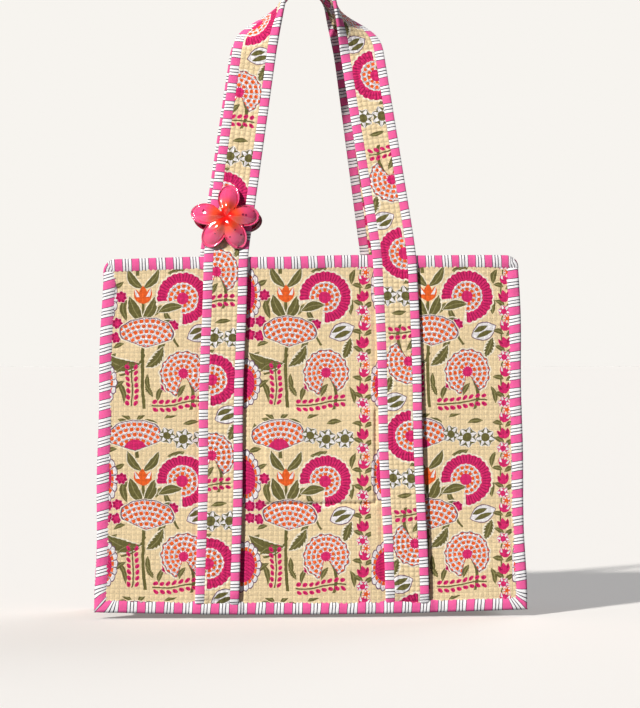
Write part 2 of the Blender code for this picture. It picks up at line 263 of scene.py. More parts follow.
def fill(node, inputs):
    """Sets a node's inputs by name or number: a field or a socket is linked, a plain value is set."""
    for key, value in inputs.items():
        if isinstance(value, Field):
            value = value.socket
        if isinstance(value, bpy.types.NodeSocket):
            node.id_data.links.new(value, node.inputs[key])
        else:
            node.inputs[key].default_value = value
    return node


class Field:
    """A number in a node tree. Python's operators on it, and the steps below, add Math nodes."""

    def __init__(self, tree, socket):
        self.tree = tree
        self.socket = socket

    def math(self, operation, *values):
        node = self.tree.nodes.new("ShaderNodeMath")
        node.operation = operation
        return Field(self.tree, fill(node, dict(enumerate(values))).outputs[0])

    def __rsub__(self, other):
        return self.math("SUBTRACT", other, self)

    def wrapped(self, low, high):
        return self.math("WRAP", self, high, low)


def math_step(operation):
    return lambda field, *others: field.math(operation, field, *others)


STEPS = {
    "__add__": "ADD", "__sub__": "SUBTRACT", "__mul__": "MULTIPLY", "__truediv__": "DIVIDE",
    "__pow__": "POWER", "__lt__": "LESS_THAN", "__gt__": "GREATER_THAN", "__abs__": "ABSOLUTE",
    "root": "SQRT", "floor": "FLOOR", "fract": "FRACT", "sine": "SINE", "either": "MAXIMUM",
    "angle_to": "ARCTAN2",
}
for step_name, step_operation in STEPS.items():
    setattr(Field, step_name, math_step(step_operation))


def polar(x, y):
    """Radius and angle of a place."""
    return (x * x + y * y).root(), y.angle_to(x)


class Paint:
    """A new Principled material, its cloth coordinates in millimetres, and a running colour."""

    def __init__(self, name, ground, roughness, specular=0.3, sheen=0.0):
        self.material = bpy.data.materials.new(name)
        self.material.use_nodes = True
        self.tree = self.material.node_tree
        self.colour = linear(ground)
        self.shader = fill(self.tree.nodes["Principled BSDF"], {
            "Roughness": roughness, "Specular IOR Level": specular,
            "Sheen Weight": sheen, "Sheen Roughness": 0.45})
        self.place = self.scaled(self.node("ShaderNodeUVMap", uv_map="cloth").outputs[0], 1000.0)

    def node(self, kind, inputs=None, **settings):
        node = self.tree.nodes.new(kind)
        for key, value in settings.items():
            setattr(node, key, value)
        return fill(node, inputs or {})

    def scaled(self, vector, factor):
        return self.node("ShaderNodeVectorMath", {0: vector, "Scale": factor}, operation="SCALE").outputs[0]

    def split(self, vector):
        parts = self.node("ShaderNodeSeparateXYZ", {0: vector}).outputs
        return Field(self.tree, parts[0]), Field(self.tree, parts[1])

    def join(self, x, y):
        return self.node("ShaderNodeCombineXYZ", {0: x, 1: y}).outputs[0]

    def local(self, vector, x, y, turn):
        """Coordinates about a place, turned by an angle in degrees."""
        inputs = {"Vector": vector, "Location": (x, y, 0.0), "Rotation": (0.0, 0.0, math.radians(turn))}
        return self.split(self.node("ShaderNodeMapping", inputs, vector_type="TEXTURE").outputs[0])

    def noise(self, size, detail=2.0, stretch=(1.0, 1.0)):
        """Noise from 0 to 1 whose features are about size millimetres across."""
        scale = (stretch[0] / size, stretch[1] / size, 1.0)
        mapping = self.node("ShaderNodeMapping", {"Vector": self.place, "Scale": scale})
        inputs = {"Vector": mapping.outputs[0], "Scale": 1.0, "Detail": detail}
        return Field(self.tree, self.node("ShaderNodeTexNoise", inputs).outputs["Fac"])

    def wobble(self, vector, size, amount):
        """The coordinates shifted about by noise, as a hand-cut block prints them."""
        inputs = {"Vector": self.scaled(vector, 1.0 / size), "Scale": 1.0, "Detail": 1.0}
        colour = self.node("ShaderNodeTexNoise", inputs).outputs["Color"]
        inputs = {0: colour, 1: (2 * amount, 2 * amount, 0.0), 2: vector}
        return self.node("ShaderNodeVectorMath", inputs, operation="MULTIPLY_ADD").outputs[0]

    def lay(self, mask, colour):
        """Prints a colour over the running colour wherever the mask is one."""
        inputs = {"Factor": mask, 6: self.colour, 7: linear(colour)}
        self.colour = self.node("ShaderNodeMix", inputs, data_type="RGBA").outputs[2]

    def shade(self, amount):
        """Multiplies the running colour by a field."""
        self.colour = self.scaled(self.colour, amount)

    def quilting(self):
        """How near a place is to a line of stitches, from 0 to 1; 0 on pieces without quilting. Darkening by it
        is painted shade in the stitched grooves.
        """
        across, up = self.split(self.node("ShaderNodeUVMap", uv_map="quilt").outputs[0])
        lines = []
        for run, along in ((across, up), (up, across)):
            near = (1.0 - abs(run.fract() - 0.5) / 0.3).either(0.0) ** 1.6
            stitch = (along * 2.0).fract() > 0.35
            lines.append(near * (stitch * 0.3 + 0.7))
        return lines[0].either(lines[1])

    def bump(self, height, strength, distance=0.0003):
        inputs = {"Height": height, "Strength": strength, "Distance": distance}
        fill(self.shader, {"Normal": self.node("ShaderNodeBump", inputs).outputs[0]})

    def done(self):
        fill(self.shader, {"Base Color": self.colour})
        return self.material


CREAM = (249, 224, 178)
HALO = (255, 243, 218)
WHITE = (250, 246, 246)
MAGENTA = (226, 42, 112)
DEEP_MAGENTA = (172, 18, 82)
ORANGE = (246, 104, 40)
OLIVE = (112, 106, 58)
LIGHT_OLIVE = (150, 142, 92)
OUTLINE = (120, 84, 110)
PINK = (241, 98, 160)
TAPE_WHITE = (250, 248, 249)
TAPE_LINE = (46, 40, 58)
LINING_PEACH = (246, 214, 196)
LINING_DOT = (232, 96, 146)
STEEL = (176, 176, 182)


# The print's shapes. Each is drawn about its own origin, in millimetres.

def leaf_mask(x, y, length, width, bend=0.0, teeth=0.0):
    """Mask and midrib of a leaf that grows along +X."""
    along = x / length
    hump = along * (1.0 - along) * 4.0
    off = abs(y - hump * bend)
    reach = hump * width
    if teeth:
        reach = reach * (1.0 - (along * 7.0).fract() * teeth)
    return off < reach, (off < 0.5) * (hump > 0.25)


def petal_rows(radius, angle, pitch):
    """Rows of round petals about a point: masks of their orange hearts and of their outlines."""
    row = (radius / pitch).floor()
    out = (radius / pitch).fract() - 0.5
    along = (angle * (row + 0.5) * 0.95 + row * 0.5).fract() - 0.5
    spread = (out * out + along * along).root()
    square = abs(out).either(abs(along))
    outline = (abs(spread - 0.5) < 0.035) * (out > -0.1)
    return (spread + square < 0.72) * (out < 0.34), outline


def petals(paint, radius, angle, pitch, body):
    """A white ground with rows of orange-hearted petals."""
    paint.lay(body, WHITE)
    hearts, lines = petal_rows(radius, angle, pitch)
    paint.lay(lines * body, OUTLINE)
    paint.lay(hearts * body, ORANGE)


def leaf(paint, along, off, length, width, bend, teeth=0.0):
    """A leaf, with a pale outline if it is broad."""
    mask, rib = leaf_mask(along, off, length, width, bend, teeth)
    if width > 3.9:
        paint.lay(leaf_mask(along + 0.8, off, length + 1.6, width + 1.1, bend)[0], HALO)
    paint.lay(mask, OLIVE)
    paint.lay(rib * mask, LIGHT_OLIVE)


def stem(paint, along, off, length, bend, half_thickness=1.25):
    """A stalk along +X, bowed sideways."""
    share = along / length
    bowed = abs(off - share * (1.0 - share) * (4.0 * bend))
    paint.lay((bowed < half_thickness) * (abs(share - 0.5) < 0.5), OLIVE)


def berries(paint, along, off, length, pitch=6.4):
    """A stalk with berries in pairs on both sides."""
    off = off + (along * 0.11).sine() * 1.2
    inside = abs(along / length - 0.5) < 0.5
    paint.lay((abs(off) < 0.75) * inside, OLIVE)
    step = ((along / pitch).fract() - 0.5) * (pitch / 2.5)
    out = (abs(off) - 4.3) / 2.0 - step * 0.35
    paint.lay((step * step * 0.8 + out * out * 0.8 < 1.0) * inside, MAGENTA)
    paint.lay(((step + 0.25) ** 2.0 + out * out < 0.16) * inside, DEEP_MAGENTA)


def fan(paint, across, up, half_x, half_y, heart=False):
    """A wide domed flower of petal rows that spread from its calyx."""
    radius, angle = polar(up + (half_y + 13.0), across)
    low = up + half_y - abs(across) * (half_y * 0.62 / half_x)
    dome = (across / half_x) ** 2.0 + (up / half_y) ** 2.0 + (angle * 21.0).sine() * 0.035
    paint.lay((dome < 1.16) * (low > -1.4), HALO)
    paint.lay((dome < 1.06) * (low > 0.0), OUTLINE)
    body = (dome < 0.96) * (low > 0.7)
    petals(paint, radius, angle, 5.6, body)
    if heart:
        spread = polar(up + half_y * 0.95, across)[0]
        paint.lay((spread < half_y * 0.72) * body, MAGENTA)


def carnation(paint, across, up, size):
    """A round flower of petal rows with a magenta heart, open on one side."""
    radius, angle = polar(up, across)
    waved = radius + (angle * 15.0).sine() * 0.7
    whole = abs(angle) < 2.72
    paint.lay((waved < size + 2.2) * whole, HALO)
    paint.lay((waved < size + 0.6) * whole, OUTLINE)
    petals(paint, radius, angle, 5.3, (waved < size - 0.3) * (abs(angle) < 2.68))
    paint.lay(waved < 5.6, MAGENTA)


def crescent(paint, across, up, size):
    """A blossom with a broad magenta crescent round rings of small petals."""
    radius, angle = polar(up, across)
    edge = abs((angle * 13.0).sine()) * -1.1
    paint.lay((radius + edge < size + 1.8) * (abs(angle) < 2.55), HALO)
    ring = (radius + edge < size) * (abs(angle) < 2.42)
    paint.lay(ring, MAGENTA)
    rays = (angle * 7.4 + radius * 0.02).fract() < 0.3
    paint.lay(rays * ring * (radius > size * 0.7), DEEP_MAGENTA)
    petals(paint, radius, angle, 5.2, (radius < size * 0.64) * (abs(angle) < 2.5))
    paint.lay(radius + edge * 0.6 < 6.0, MAGENTA)


def oval(paint, across, up, half_x, half_y):
    """A magenta oval in a border of orange and white petals."""
    radius, angle = polar(across / half_x, up / half_y)
    tooth = abs((angle * 9.0).sine())
    paint.lay(radius - tooth * 0.12 < 1.5, OUTLINE)
    paint.lay(radius - tooth * 0.12 < 1.42, WHITE)
    paint.lay((tooth < 0.22) * (radius < 1.44), OUTLINE)
    paint.lay((radius < 1.22) * (tooth > 0.4), ORANGE)
    paint.lay(radius < 1.0, MAGENTA)
    grain = ((up + across * across * 0.05) / 3.4).fract() < 0.2
    paint.lay((radius < 1.0) * grain, DEEP_MAGENTA)


def tulip(paint, across, up, size, colour, tip):
    """A small cup of three petals."""
    mirrored, up = abs(across / size), up / size
    along = up * 0.88 + mirrored * 0.47
    off = mirrored * 0.88 - up * 0.47
    centre = leaf_mask(up, across / size, 1.0, 0.24)[0]
    paint.lay(leaf_mask(along, off, 0.95, 0.2, 0.05)[0].either(centre), colour)
    paint.lay(leaf_mask(along, off, 0.95, 0.09, 0.05)[0] * (up > 0.4), tip)


def bud(paint, along, off):
    """A closed bud: olive sepals inside a broad white outline."""
    paint.lay(leaf_mask(along + 1.0, off, 30.0, 9.8)[0], OUTLINE)
    paint.lay(leaf_mask(along, off, 28.0, 8.8)[0], WHITE)
    for shift, reach, width in ((3.3, 17.0, 2.6), (-3.1, 20.0, 2.7)):
        paint.lay(leaf_mask(along - 3.5, off - shift, reach, width, 0.6)[0], OLIVE)


def star(paint, across, up, size, count, colour, tip):
    """Pointed petals round a centre."""
    radius, angle = polar(across, up)
    cell = (angle * (count / (2.0 * math.pi))).fract() - 0.5
    share = radius / size
    reach = share * (1.0 - share) * 1.9
    arc = abs(cell) * share * (6.28 / count)
    paint.lay((arc < reach + 0.09) * (share < 1.12), WHITE)
    paint.lay(arc < reach, colour)
    paint.lay((arc < reach * 0.4) * (share > 0.45), tip)


# The repeat: each spot is x, y and turn in degrees, then what its shape asks for
REPEAT_LOW = (-10.5, -7.0)
REPEAT = (152.0, 195.0)
COLUMN_X = 133.0
COLUMN_REPEAT = REPEAT[1] / 4
MOTIFS = (
    (stem, ((52, 0, 91, 72, 1.6, 1.7), (101, -2, 97, 36, -4.6, 1.7), (88, 66, 108, 28, 2.6),
            (50, 88, 90, 38, 0.0, 1.6), (44, 142, 92, 14, 0.0, 1.9), (26, 36, 40, 34, -5.0),
            (18, 96, 300, 22, 2.0, 0.8))),
    (leaf, ((26, 104, 60, 15, 2.9, 1.0), (30, 136, 205, 14, 2.6, 0.8), (120, 130, 75, 17, 3.0, 1.6),
            (76, 144, 20, 15, 2.8, -1.2), (63, 99, 60, 13, 2.7, 0.8), (66, 8, 70, 17, 2.8, 1.6),
            (31, 6, 110, 27, 2.8, -3.4), (58, 20, 100, 17, 2.7, 1.4), (118, 22, 285, 19, 2.7, 2.0),
            (10, 148, 15, 14, 2.7, 1.2), (66, 179, 160, 14, 2.6, 1.2), (24, 184, 330, 14, 2.6, 1.2),
            (81, 92, 120, 16, 2.8, 1.8), (22, 60, 205, 14, 2.4, 1.2), (73, 184, 20, 16, 2.6, 1.2),
            (120, 98, 84, 16, 2.9, 1.4), (66, 58, 58, 17, 2.8, 1.4), (14, 164, 80, 15, 2.8, -1.4),
            (93, 178, 8, 17, 2.6, 1.2), (44, 182, 40, 13, 2.6, 1.0), (38, 183, 150, 13, 2.6, -1.0),
            (84, 140, 40, 14, 2.6, 1.2), (20, 20, 40, 15, 2.6, 1.4), (31, 70, 200, 13, 2.4, -1.2),
            (50, 94, 118, 30, 5.6, 2.4), (50, 94, 64, 28, 5.2, -2.4), (33, 95, 100, 22, 3.4, 1.8),
            (48, 48, 163, 40, 7.0, 7.5, 0.1), (53, 44, 50, 29, 6.0, -3.4, 0.35),
            (50, 128, 126, 27, 4.2, 3.4), (50, 128, 52, 27, 4.2, -3.4), (112, 52, 70, 23, 5.2, 0.0, 0.4),
            (66, 103, 12, 27, 4.6, 2.4), (64, 88, 4, 24, 4.0, 1.8), (22, 38, 30, 19, 3.0, 2.6),
            (88, 12, 60, 15, 3.2, 1.5, 0.3), (53, 26, 300, 16, 3.4, 0.0, 0.4))),
    (berries, ((38, 3, 88, 46), (60, 3, 4, 54, 6.8))),
    (oval, ((6, 122, 6, 11.0, 19.0), (5, 26, -8, 11.5, 17.0))),
    (star, [(x, y, 10 * x, 6.4, 7, MAGENTA, DEEP_MAGENTA) for x, y in (
        (12, 91), (23, 92), (12, 78), (22, 77), (82, 88), (75, 24), (27, 120))]),
    (fan, ((54, 81, -3, 28.0, 16.0), (42, 166, 2, 28.0, 16.5, True))),
    (carnation, ((93, 37, 8, 23.5),)),
    (crescent, ((92, 117, -42, 26.5),)),
    (tulip, ((50, 112, 0, 19.0, ORANGE, WHITE),)),
    (bud, ((97, 75, 22),)),
    (star, ((76, 166, 20, 9.0, 6, OLIVE, WHITE), (93, 162, 0, 11.0, 7, OLIVE, WHITE),
            (113, 162, 12, 10.5, 7, OLIVE, WHITE))),
)
COLUMN_MOTIFS = (
    (stem, ((1, 0, 94, 48, 3.0, 0.8),)),
    (leaf, ((0, 6, 30, 14, 2.7, 1.4), (0, 9, 150, 13, 2.7, -1.4), (1, 27, 25, 12, 2.5, 1.2),
            (-1, 29, 165, 12, 2.5, -1.2))),
    (star, ((-1, 4, 20, 7.0, 6, MAGENTA, WHITE),)),
    (tulip, ((1, 14, 14, 13.0, MAGENTA, DEEP_MAGENTA), (-1, 32, -16, 12.5, MAGENTA, WHITE))),
    (star, ((3, 45, 0, 5.0, 5, ORANGE, WHITE),)),
)


def print_material():
    """Block-printed cotton: a repeat of blossoms, fans, buds, berries and leaves on cream."""
    paint = Paint("block_print_cotton", CREAM, roughness=0.86, specular=0.2, sheen=0.12)
    wobbled = paint.wobble(paint.wobble(paint.place, 26.0, 1.2), 6.0, 0.75)
    tile_x, tile_y = (part.wrapped(low, low + size)
                      for part, low, size in zip(paint.split(wobbled), REPEAT_LOW, REPEAT))
    cloth = paint.join(tile_x, tile_y)
    column = paint.join(tile_x - COLUMN_X, tile_y.wrapped(0.0, COLUMN_REPEAT))
    for ground, motifs in ((cloth, MOTIFS), (column, COLUMN_MOTIFS)):
        for shape, spots in motifs:
            for x, y, turn, *sizes in spots:
                shape(paint, *paint.local(ground, x, y, turn), *sizes)

    ink = paint.noise(2.2, 3.0)
    thread = paint.noise(0.7, 1.0, (0.45, 1.0))
    stain = paint.noise(42.0)
    groove = paint.quilting()
    # Darker along the quilting lines, a little more at each stitch: painted shade in the stitched grooves,
    # which the bump below also dents
    paint.shade((ink - 0.5) * 0.5 + (thread - 0.5) * 0.22 + (stain - 0.5) * 0.14 + 1.0 - groove * 0.2)
    weave_u, weave_v = paint.split(paint.place)
    lines = (weave_u * 9.0).sine() * (weave_v * 9.0).sine()
    paint.bump(lines * 0.4 + thread - groove * 1.6, 0.8)
    return paint.done()


def stripe_material():
    """Cotton tape cut across a woven stripe: pink blocks, then white with thin grey lines."""
    paint = Paint("striped_tape_cotton", TAPE_WHITE, roughness=0.82, specular=0.2, sheen=0.15)
    along, across = paint.split(paint.place)
    wobbled = along + paint.noise(14.0) * 1.6 + across * 0.06
    stripe = wobbled.wrapped(0.0, 19.6)
    paint.lay(stripe < 9.5, PINK)
    for place, half in ((0.3, 0.34), (9.4, 0.34), (12.7, 0.5), (16.1, 0.5)):
        paint.lay(abs(stripe - place) < half, TAPE_LINE)
    fade = paint.noise(5.0, 3.0)
    thread = paint.noise(0.6, 1.0, (1.0, 0.3))
    # Darker towards both edges of the tape: painted shade where the folded tape curves away
    edge = (abs(across) - 4.2).either(0.0)
    paint.shade((fade - 0.5) * 0.26 + (thread - 0.5) * 0.2 + 1.0 - edge * 0.05)
    weave = (along * 11.0).sine() * (across * 11.0).sine()
    creases = paint.noise(3.0, stretch=(1.0, 0.25))
    paint.bump(weave * 0.2 + thread * 0.6 + creases * 1.6, 0.75)
    return paint.done()


def lining_material():
    """Plain-woven lining with a small hand-printed dot."""
    paint = Paint("lining_cotton", LINING_PEACH, roughness=0.88, specular=0.2, sheen=0.1)
    u, v = paint.split(paint.wobble(paint.place, 6.0, 0.5))
    pitch = 11.0
    row = (v / pitch).floor()
    cell_u = ((u / pitch + row * 0.5).fract() - 0.5) * pitch
    cell_v = ((v / pitch).fract() - 0.5) * pitch
    radius, angle = polar(cell_u, cell_v)
    paint.lay(radius + (angle * 5.0).sine() * 0.5 < 2.3, LINING_DOT)
    paint.lay(radius < 0.8, WHITE)
    thread = paint.noise(0.8)
    groove = paint.quilting()
    # Darker along the quilting lines: painted shade in the stitched grooves
    paint.shade((thread - 0.5) * 0.3 + 1.0 - groove * 0.16)
    paint.bump(thread - groove, 0.7)
    return paint.done()


def clip_material(name, heart, middle, tip, seen_through, spots=None):
    """Glossy cast plastic, coloured from the flower's heart to the petals' tips."""
    paint = Paint(name, heart, roughness=0.12, specular=0.6)
    radius = polar(*paint.split(paint.place))[0]
    flow = radius + (paint.noise(9.0) - 0.5) * 9.0
    for value, start, end, colour in ((flow, 5.0, 14.0, middle), (radius, 12.0, 25.0, tip)):
        inputs = {"Value": value, "From Min": start, "From Max": end}
        ramp = paint.node("ShaderNodeMapRange", inputs, interpolation_type="SMOOTHSTEP")
        paint.lay(ramp.outputs[0], colour)
    if spots:
        cells = paint.node("ShaderNodeTexVoronoi", {"Vector": paint.place, "Scale": 0.16})
        near = Field(paint.tree, cells.outputs["Distance"])
        paint.lay((near < 0.2) * (radius > 17.0), spots)
    fill(paint.shader, {
        "Coat Weight": 0.8, "Coat Roughness": 0.05, "Transmission Weight": seen_through, "IOR": 1.49,
        "Subsurface Weight": 0.25, "Subsurface Radius": (0.004, 0.001, 0.001)})
    return paint.done()


def metal_material():
    paint = Paint("spring_steel", STEEL, roughness=0.28)
    fill(paint.shader, {"Metallic": 1.0})
    paint.bump(paint.noise(0.8, 3.0, (1.0, 0.1)), 0.5, distance=0.00005)
    return paint.done()


print_cotton = print_material()
stripe_cotton = stripe_material()
lining_cotton = lining_material()
clip_bright = clip_material(
    "clip_plastic_bright", (250, 10, 2), (255, 84, 40), (252, 84, 136), 0.1, spots=(140, 6, 60))
# The back flower and its lugs use a darkened copy of the clip's plastic: painted shade for the half that sits
# behind the strap
clip_shaded_copy = clip_material("clip_plastic_painted_shade", (110, 4, 20), (116, 4, 34), (176, 10, 60), 0.2)
spring_steel = metal_material()


# ---------------- bag body

def finish_piece(obj, slot, body, *nodes):
    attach(obj, body)
    if nodes:
        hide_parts(*nodes)
    return obj


def quilted_cover(name, outer, inner, uv, flip):
    """A wall's printed cloth with its wadding."""
    cover = shell(f"{name}_quilted_cover", outer, inner, uv, print_cotton, flip, step=4)
    finish_piece(cover, "print_cotton", "bag", f"{name}_cover", f"{name}_wadding")


def quilted_lining(name, outer, inner, uv, flip, samples=4):
    lining = shell(f"{name}_quilted_lining", outer, inner, uv, lining_cotton, flip, step=4, samples=samples)
    finish_piece(lining, "lining_cotton", "bag", f"{name}_lining")


def strap_lump(x, z):
    """One where a sewn strap passes at a place, falling to nothing beside it."""
    lump = np.zeros_like(x)
    fade = 0.006
    for _, rim_x, base_x in LEGS:
        middle = base_x + (rim_x - base_x) * z / HEIGHT
        lump = np.maximum(lump, smooth((STRAP_WIDTH / 2 + fade - np.abs(x - middle)) / fade))
    return lump


def pocket_seam(x, z):
    """How deep the pocket's stitching pulls the front panel in."""
    low, high = POCKET_LOW, POCKET_HIGH
    fade, seam_width = 0.004, 0.0015
    in_x = smooth((x - low[0]) / fade + 0.5) * smooth((high[0] - x) / fade + 0.5)
    in_z = smooth((z - low[2]) / fade + 0.5) * smooth((high[2] - 0.02 - z) / fade + 0.5)
    base = np.exp(-((z - low[2]) / seam_width) ** 2) * in_x
    side = np.exp(-((x - high[0]) / seam_width) ** 2) * in_z
    return 0.0026 * np.maximum(base, 0.7 * side) - 0.0009 * in_x * in_z


def wall_grid(rows, columns, reach):
    """X and Z of a wall that narrows upwards; reach is how far inside the bag's edge it ends."""
    z, share = grid(
        np.linspace(BINDING - TUCK, HEIGHT - BINDING + TUCK, rows), np.linspace(-1.0, 1.0, columns))
    return share * (half_width(z) - reach), z


def panel(name, side, print_shift):
    """A quilted front or back wall: the printed cover with its wadding, and the lining."""
    x, z = wall_grid(273, 337, BINDING - TUCK)
    rise = puffs(*x.shape) + 0.0003 * np.sin(x * 31.0 + z * 12.0) * np.sin(z * 23.0)
    if side < 0:
        rise = rise - pocket_seam(x, z)
    depth = PUFF_HEIGHT + 0.0003 - rise + 0.0011 * strap_lump(x, z)
    top = soften(x, wall_y(side, depth), z)
    bottom = soften(x, wall_y(side, COVER_BACK), z)
    uv = joined(print_shift[0] - side * x, z + print_shift[1])
    quilted_cover(name, top, bottom, uv, side > 0)

    x, z = wall_grid(133, 161, BINDING + WALL - 0.0012)
    near = soften(x, wall_y(side, LINING_FACE), z)
    far = soften(x, wall_y(side, WALL - 0.0006 + puffs(*x.shape, 2) * 0.8), z)
    quilted_lining(name, far, near, joined(x, z), side < 0, samples=2)


def pull_in(points, hand):
    """The side walls fold in a little between the front and back panels."""
    side = (points[..., 1] - MIDDLE_Y) / HALF_DEPTH
    up = np.clip(points[..., 2] / HEIGHT, 0.0, 1.0)
    fold = (1.0 - side ** 2) ** 1.3 * smooth(up / 0.25) * (1.0 - 0.35 * up)
    return points - (hand * GUSSET_PULL * fold)[..., None] * X_AXIS


def side_gusset(name, hand):
    z, y = grid(np.linspace(BINDING + 0.002, HEIGHT - BINDING + TUCK, 269),
                np.linspace(FRONT_Y + GUSSET_GAP, BACK_Y - GUSSET_GAP, 89))

    def face(depth):
        return pull_in(soften(hand * (half_width(z) - BINDING - depth), y, z), hand)

    uv = joined(y * hand + 0.03, z + 0.02)
    rise = puffs(*z.shape)
    quilted_cover(name, face(PUFF_HEIGHT - rise), face(SIDE_COVER_BACK), uv, hand < 0)
    inner = face(WALL - 0.0006 + rise * 0.7)
    quilted_lining(name, inner, face(SIDE_LINING_FACE), uv, hand > 0)


def base_gusset():
    y, share = grid(np.linspace(FRONT_Y + GUSSET_GAP, BACK_Y - GUSSET_GAP, 89), np.linspace(-1.0, 1.0, 333))
    x = share * (BASE_HALF_WIDTH - BINDING - 0.0015)
    sag = BASE_SAG * (1.0 - ((y - MIDDLE_Y) / HALF_DEPTH) ** 2) * (1.0 - (x / BASE_HALF_WIDTH) ** 2)

    def face(depth):
        return soften(x, y, BINDING + depth) - sag[..., None] * Z_AXIS

    uv = joined(x, y + 0.05)
    rise = puffs(*x.shape)
    quilted_cover("gusset_base", face(PUFF_HEIGHT - rise + 0.0004), face(COVER_BACK), uv, True)
    inner, flat = face(WALL - 0.0002 + rise * 0.7), (2 * BASE_HALF_WIDTH, BACK_Y - FRONT_Y)
    quilted_lining("gusset_base", inner, face(LINING_FACE), uv, False)


def edge_binding(name, node, middle, across, facing, thickness, fullness=(1.0, 1.0), **laid):
    """Striped tape folded over an edge. Fullness is its thickness at its two ends, as a share."""
    count = len(middle)
    puff = 1.0 + unevenness(count, 5, 0.1)
    puff *= np.interp(np.arange(count), (0, 6, count - 7, count - 1), (fullness[0], 1.0, 1.0, fullness[1]))
    section = tape_section(BINDING, thickness)
    tape = sweep(name, middle, across, facing, section, stripe_cotton, puff - 1.0, **laid)
    return finish_piece(tape, "stripe_cotton", "bag", node)


def seam_bindings(side, name):
    """The taped seams that stand out round a wall: left, base and right, mitred at the lower corners."""
    y = wall_y(side, 0.0040)
    half = BINDING / 2
    step = 0.0022
    z = np.arange(half, HEIGHT - BINDING + 0.0015, step)
    for hand, label in HANDS:
        middle = soften(hand * (half_width(z) - half), y, z)
        middle[:, 0] += 0.0007 * np.sin(z * 41.0 + hand) * smooth(z / 0.03)
        across = joined(hand, 0.0, -smooth(1.0 - (z - half) / MITRE_REACH))
        edge_binding(f"{name}_seam_tape_{label}", f"{name}_binding_{label}", middle, across, side * Y_AXIS,
                     0.0084, (1.0, 0.72), shift=0.004 * hand, slant=-0.22 * hand)
    reach = BASE_HALF_WIDTH - half
    x = np.arange(-reach, reach + step / 2, step)
    middle = soften(x, y, half)
    middle[:, 1] += side * 0.0016 * strap_lump(x, half)
    mitre = smooth(1.0 - (reach - np.abs(x)) / MITRE_REACH) * np.sign(x)
    edge_binding(f"{name}_seam_tape_base", f"{name}_binding_base", middle, joined(mitre, 0.0, -1.0),
                 side * Y_AXIS, 0.0086)


def round_corners(obj):
    """Pulls the upper outer corners of the bag's flat walls in to a curve."""
    centre_x = RIM_HALF_WIDTH - CORNER_RADIUS
    for vertex in obj.data.vertices:
        x, y, z = vertex.co
        hand = math.copysign(1.0, x)
        centre_z = HEIGHT - CORNER_RADIUS + RIM_TILT * hand
        out, up = abs(x) - centre_x, z - centre_z
        if out > 0 and up > 0:
            scale = max(out, up) / math.hypot(out, up)
            vertex.co = (hand * (centre_x + out * scale), y, centre_z + up * scale)
    obj.data.update()


def rim_bindings():
    z = HEIGHT - BINDING / 2
    for side, name in SIDES:
        x = np.linspace(-RIM_HALF_WIDTH, RIM_HALF_WIDTH, 205)
        middle = soften(x, wall_y(side, 0.0031), z)
        middle[:, 2] += 0.0006 * np.sin(x * 37.0) * np.cos(x * 6.0)
        tape = edge_binding(f"{name}_rim_tape", f"rim_binding_{name}", middle, Z_AXIS, side * Y_AXIS,
                            0.0068, (0.9, 0.9), shift=0.006, stretch=1.09)
        round_corners(tape)
    for hand, name in HANDS:
        y = np.linspace(FRONT_Y + 0.0058, BACK_Y - 0.0058, 56)
        middle = pull_in(soften(hand * (half_width(z) - BINDING - 0.0031), y, z), hand)
        facing = unit(np.cross(np.gradient(middle, axis=0), Z_AXIS))
        facing = facing * np.sign(facing @ (hand * X_AXIS))[:, None]
        edge_binding(f"{name}_rim_tape", f"rim_binding_{name}", middle, Z_AXIS, facing, 0.0064, (0.85, 0.85))


# ---------------- straps

def handle_tilt(side):
    """The axes of a free loop's own plane, which leans towards the bag's middle."""
    lean = -side * HANDLE_LEAN
    return np.array((X_AXIS, (0.0, math.cos(lean), -math.sin(lean)), (0.0, math.sin(lean), math.cos(lean))))


def loop_frames():
    """Middle, width axis and outward axis round a free loop, in the loop's own upright plane."""
    leg_length = (ARCH_Z + ARCH_RADIUS * math.sin(LEG_SLOPE)) / math.cos(LEG_SLOPE)
    lengths = np.arange(0.0, leg_length, 0.0013)
    turn = np.linspace(LEG_SLOPE, math.pi / 2, 36)
    x = np.concatenate((lengths * math.sin(LEG_SLOPE) - INNER_EDGE, -ARCH_RADIUS * np.cos(turn)))
    z = np.concatenate((lengths * math.cos(LEG_SLOPE), ARCH_Z + ARCH_RADIUS * np.sin(turn)))
    angle = np.concatenate((np.full_like(lengths, LEG_SLOPE), turn))
    length = np.concatenate((lengths, leg_length + ARCH_RADIUS * (turn - LEG_SLOPE)))
    twist = math.pi / 2 * smooth((length - TWIST_START) / TWIST_LENGTH)
    plane = angle * smooth(length / 0.04)
    outward = joined(-np.cos(plane), 0.0, np.sin(plane))
    flat, edge = np.cos(twist)[:, None], np.sin(twist)[:, None]
    frames = (joined(x, 0.0, z) + outward * flat * STRAP_WIDTH / 2,
              outward * flat + edge * Y_AXIS, outward * edge - flat * Y_AXIS)
    mirror = np.array((-1.0, 1.0, 1.0))
    return [np.concatenate((part, part[-2::-1] * mirror)) for part in frames]


